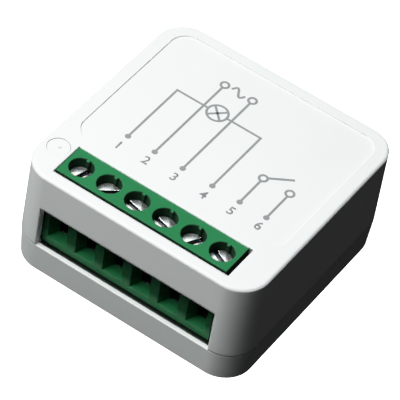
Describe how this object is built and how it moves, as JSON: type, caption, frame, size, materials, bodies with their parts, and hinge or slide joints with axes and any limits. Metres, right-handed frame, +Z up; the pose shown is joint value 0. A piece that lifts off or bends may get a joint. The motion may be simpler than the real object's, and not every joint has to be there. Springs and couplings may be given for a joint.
{
  "type": "in-wall smart switch module",
  "caption": "Small square snap-together switch module for a wall box, with a front row of screw terminals, a push button, a relay and a radio board inside.",
  "frame": {"origin": "centre of the flat underside of the case", "axes": "+Z up through the label face, -Y towards the wire entries, +X along the terminal row to the right as seen from the wire side"},
  "size_m": [0.042, 0.0422, 0.0203],
  "materials": {
    "cover_plastic": "fine satin",
    "base_plastic": "fine satin",
    "block_plastic": "satin",
    "button_plastic": "satin",
    "screw_steel": "nickel plated",
    "clamp_steel": "zinc plated",
    "contact_metal": "tinned",
    "board_laminate": "solder mask",
    "relay_plastic": "satin",
    "coil_plastic": "satin",
    "coil_wire": "enamelled",
    "relay_iron": "plated",
    "blade_metal": "plain",
    "ferrite": "plain",
    "can_sleeve": "gloss",
    "varistor_coat": "gloss",
    "resistor_body": "plain",
    "shield_can": "satin",
    "chip_plastic": "matte",
    "led_plastic": "clear",
    "key_plastic": "satin"
  },
  "bodies": {
    "case": {"bottom_shell": "base_plastic", "bridge_rectifier": "chip_plastic", "filter_choke": "ferrite", "fuse_resistor": "resistor_body", "key_switch_body": "key_plastic", "main_board": "board_laminate", "mains_capacitor_1": "can_sleeve", "mains_capacitor_2": "can_sleeve", "output_capacitor": "can_sleeve", "radio_board": "board_laminate", "radio_shield": "shield_can", "relay_base": "relay_plastic", "relay_bobbin": "coil_plastic", "relay_case": "relay_plastic", "relay_fixed_contact": "blade_metal", "relay_winding": "coil_wire", "relay_yoke": "relay_iron", "status_led": "led_plastic", "surge_varistor": "varistor_coat", "terminal_contact_1": "contact_metal", "terminal_contact_2": "contact_metal", "terminal_contact_3": "contact_metal", "terminal_contact_4": "contact_metal", "terminal_contact_5": "contact_metal", "terminal_contact_6": "contact_metal", "terminal_housing": "block_plastic", "top_cover": "cover_plastic", "transformer_bobbin": "coil_plastic", "transformer_core": "ferrite", "transformer_winding": "coil_wire"},
    "button": {"button_cap": "button_plastic"},
    "plunger": {"key_switch_plunger": "coil_plastic"},
    "armature": {"relay_armature": "relay_iron", "relay_contact_blade": "blade_metal"},
    "screw_1": {"terminal_screw_1": "screw_steel"},
    "clamp_1": {"wire_clamp_1": "clamp_steel"},
    "screw_2": {"terminal_screw_2": "screw_steel"},
    "clamp_2": {"wire_clamp_2": "clamp_steel"},
    "screw_3": {"terminal_screw_3": "screw_steel"},
    "clamp_3": {"wire_clamp_3": "clamp_steel"},
    "screw_4": {"terminal_screw_4": "screw_steel"},
    "clamp_4": {"wire_clamp_4": "clamp_steel"},
    "screw_5": {"terminal_screw_5": "screw_steel"},
    "clamp_5": {"wire_clamp_5": "clamp_steel"},
    "screw_6": {"terminal_screw_6": "screw_steel"},
    "clamp_6": {"wire_clamp_6": "clamp_steel"}
  },
  "joints": [
    {"name": "button_press", "type": "slide", "parent": "case", "child": "button", "axis": [0, 0, -1], "range_m": [0, 0.0003], "stiffness_N_per_m": 600, "springref_m": -0.0002},
    {"name": "plunger_press", "type": "slide", "parent": "case", "child": "plunger", "axis": [0, 0, -1], "range_m": [0, 0.00031]},
    {"name": "armature_pull", "type": "hinge", "parent": "case", "child": "armature", "pos_m": [0.00115, -0.00581, 0.01645], "axis": [0, 1, 0], "range_deg": [0, 3], "stiffness_Nm_per_rad": 0.02, "springref_deg": -2.86},
    {"name": "clamp_rise_1", "type": "slide", "parent": "case", "child": "clamp_1", "axis": [0, 0, 1], "range_m": [0, 0.0028]},
    {"name": "screw_turn_1", "type": "hinge", "parent": "case", "child": "screw_1", "pos_m": [-0.01315, -0.0154, 0.0165], "axis": [0, 0, -1], "range_deg": [0, 2060]},
    {"name": "clamp_rise_2", "type": "slide", "parent": "case", "child": "clamp_2", "axis": [0, 0, 1], "range_m": [0, 0.0028]},
    {"name": "screw_turn_2", "type": "hinge", "parent": "case", "child": "screw_2", "pos_m": [-0.00807, -0.0154, 0.0165], "axis": [0, 0, -1], "range_deg": [0, 2060]},
    {"name": "clamp_rise_3", "type": "slide", "parent": "case", "child": "clamp_3", "axis": [0, 0, 1], "range_m": [0, 0.0028]},
    {"name": "screw_turn_3", "type": "hinge", "parent": "case", "child": "screw_3", "pos_m": [-0.00299, -0.0154, 0.0165], "axis": [0, 0, -1], "range_deg": [0, 2060]},
    {"name": "clamp_rise_4", "type": "slide", "parent": "case", "child": "clamp_4", "axis": [0, 0, 1], "range_m": [0, 0.0028]},
    {"name": "screw_turn_4", "type": "hinge", "parent": "case", "child": "screw_4", "pos_m": [0.00209, -0.0154, 0.0165], "axis": [0, 0, -1], "range_deg": [0, 2060]},
    {"name": "clamp_rise_5", "type": "slide", "parent": "case", "child": "clamp_5", "axis": [0, 0, 1], "range_m": [0, 0.0028]},
    {"name": "screw_turn_5", "type": "hinge", "parent": "case", "child": "screw_5", "pos_m": [0.00717, -0.0154, 0.0165], "axis": [0, 0, -1], "range_deg": [0, 2060]},
    {"name": "clamp_rise_6", "type": "slide", "parent": "case", "child": "clamp_6", "axis": [0, 0, 1], "range_m": [0, 0.0028]},
    {"name": "screw_turn_6", "type": "hinge", "parent": "case", "child": "screw_6", "pos_m": [0.01225, -0.0154, 0.0165], "axis": [0, 0, -1], "range_deg": [0, 2060]}
  ],
  "couplings": [
    {"joint": "plunger_press", "follows": "button_press", "ratio": 1},
    {"joint": "screw_turn_1", "follows": "clamp_rise_1", "rad_per_m": 12566},
    {"joint": "screw_turn_2", "follows": "clamp_rise_2", "rad_per_m": 12566},
    {"joint": "screw_turn_3", "follows": "clamp_rise_3", "rad_per_m": 12566},
    {"joint": "screw_turn_4", "follows": "clamp_rise_4", "rad_per_m": 12566},
    {"joint": "screw_turn_5", "follows": "clamp_rise_5", "rad_per_m": 12566},
    {"joint": "screw_turn_6", "follows": "clamp_rise_6", "rad_per_m": 12566}
  ]
}
